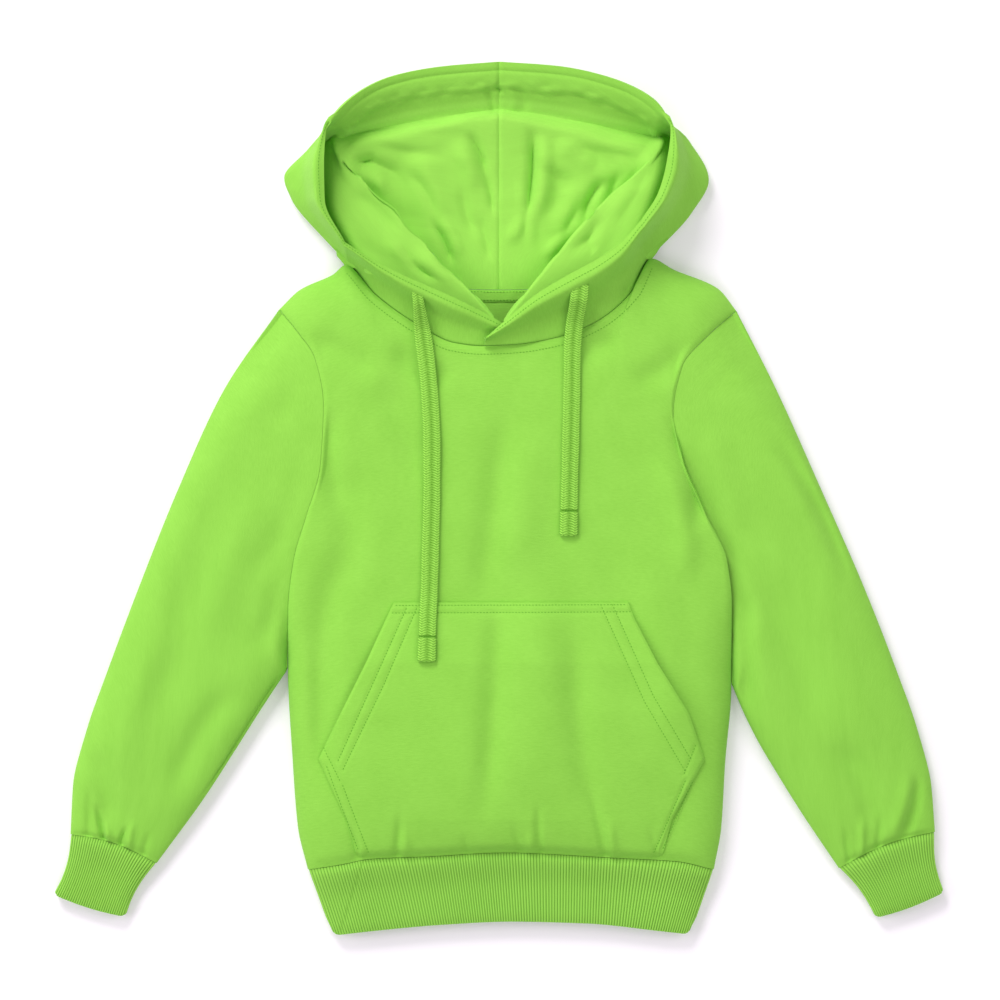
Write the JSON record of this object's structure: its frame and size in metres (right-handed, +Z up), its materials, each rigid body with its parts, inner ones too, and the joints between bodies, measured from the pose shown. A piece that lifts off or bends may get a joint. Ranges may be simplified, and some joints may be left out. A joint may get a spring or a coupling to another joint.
{
  "type": "pullover hoodie",
  "caption": "Child's fleece pullover hoodie laid flat with its lined hood spread open, a kangaroo pocket, ribbed cuffs and hem, and two drawstring ends on the chest.",
  "frame": {"origin": "centre of the bounding box, on the surface it lies on", "axes": "+X across the chest towards the wearer's left sleeve (right in a view from above), +Y from the hem towards the hood, +Z up off the surface"},
  "size_m": [0.714, 0.6979, 0.0555],
  "materials": {
    "fleece": "lime green brushed sweatshirt fleece",
    "rib": "lime green two by two rib knit",
    "cord": "lime green flat plaited cord"
  },
  "bodies": {
    "root": {"front": "fleece", "back": "fleece", "sleeve_left": "fleece", "sleeve_right": "fleece", "cuff_left": "rib", "cuff_right": "rib", "waistband": "rib", "hood_left": "fleece", "hood_right": "fleece", "pocket": "fleece", "neck_tape": "fleece", "drawstring_left": "cord", "drawstring_right": "cord"}
  },
  "joints": []
}
